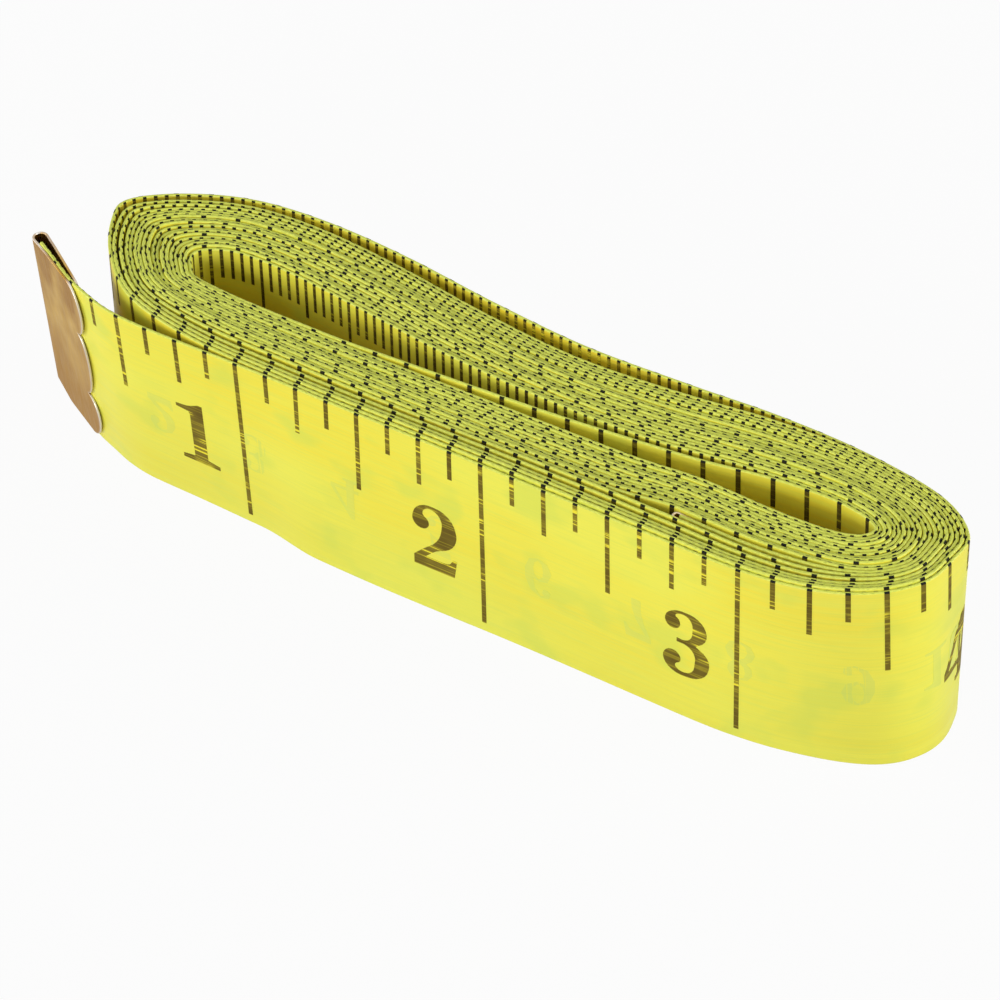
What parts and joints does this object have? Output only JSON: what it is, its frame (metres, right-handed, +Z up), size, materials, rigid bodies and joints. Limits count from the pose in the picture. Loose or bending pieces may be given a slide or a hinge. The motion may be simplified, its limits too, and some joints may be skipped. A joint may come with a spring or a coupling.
{
  "type": "cloth tape measure",
  "caption": "Yellow cloth measuring tape wound on edge into a flat oval coil, with folded brass clips on its ends and a free end that peels away from the front.",
  "frame": {"origin": "bottom centre of the whole object, on the surface that the ribbon's edges stand on", "axes": "+X along the coil's long side, away from the free end; +Z up, across the ribbon's width; the flat front faces -Y"},
  "size_m": [0.091, 0.02, 0.0194],
  "materials": {
    "tape": "cloth with a smooth satin coating",
    "ink": "printed ink, a little worn",
    "clip": "plated sheet, satin with bright edges"
  },
  "bodies": {
    "coil": {"tape_coil": "tape", "inner_end_clip": "clip"},
    "lead_1": {"tape_lead_1": "tape"},
    "lead_2": {"tape_lead_2": "tape"},
    "lead_3": {"tape_lead_3": "tape"},
    "lead_4": {"tape_lead_4": "tape"},
    "lead_5": {"tape_lead_5": "tape"},
    "lead_6": {"tape_lead_6": "tape"},
    "lead_7": {"tape_lead_7": "tape"},
    "tip": {"tape_tip": "tape", "outer_end_clip": "clip"}
  },
  "joints": [
    {"name": "peel_1", "type": "hinge", "parent": "coil", "child": "lead_1", "pos_m": [0.03041, -0.00958, 0], "axis": [0, 0, 1], "range_deg": [0, 15], "stiffness_Nm_per_rad": 0.0005},
    {"name": "peel_2", "type": "hinge", "parent": "lead_1", "child": "lead_2", "pos_m": [0.02125, -0.00969, 0], "axis": [0, 0, 1], "range_deg": [0, 15], "stiffness_Nm_per_rad": 0.0005},
    {"name": "peel_3", "type": "hinge", "parent": "lead_2", "child": "lead_3", "pos_m": [0.01209, -0.00978, 0], "axis": [0, 0, 1], "range_deg": [0, 15], "stiffness_Nm_per_rad": 0.0005},
    {"name": "peel_4", "type": "hinge", "parent": "lead_3", "child": "lead_4", "pos_m": [0.00294, -0.00981, 0], "axis": [0, 0, 1], "range_deg": [0, 15], "stiffness_Nm_per_rad": 0.0005},
    {"name": "peel_5", "type": "hinge", "parent": "lead_4", "child": "lead_5", "pos_m": [-0.00622, -0.00983, 0], "axis": [0, 0, 1], "range_deg": [0, 15], "stiffness_Nm_per_rad": 0.0005},
    {"name": "peel_6", "type": "hinge", "parent": "lead_5", "child": "lead_6", "pos_m": [-0.01538, -0.00984, 0], "axis": [0, 0, 1], "range_deg": [0, 15], "stiffness_Nm_per_rad": 0.0005},
    {"name": "peel_7", "type": "hinge", "parent": "lead_6", "child": "lead_7", "pos_m": [-0.02454, -0.00986, 0], "axis": [0, 0, 1], "range_deg": [0, 15], "stiffness_Nm_per_rad": 0.0005},
    {"name": "tip_flex", "type": "hinge", "parent": "lead_7", "child": "tip", "pos_m": [-0.0337, -0.00988, 0.01905], "axis": [0, -0.0837, 0.9965], "range_deg": [-8, 30], "stiffness_Nm_per_rad": 0.0005}
  ],
  "couplings": [
    {"joint": "peel_2", "follows": "peel_1", "ratio": 1},
    {"joint": "peel_3", "follows": "peel_1", "ratio": 1},
    {"joint": "peel_4", "follows": "peel_1", "ratio": 1},
    {"joint": "peel_5", "follows": "peel_1", "ratio": 1},
    {"joint": "peel_6", "follows": "peel_1", "ratio": 1},
    {"joint": "peel_7", "follows": "peel_1", "ratio": 1}
  ]
}
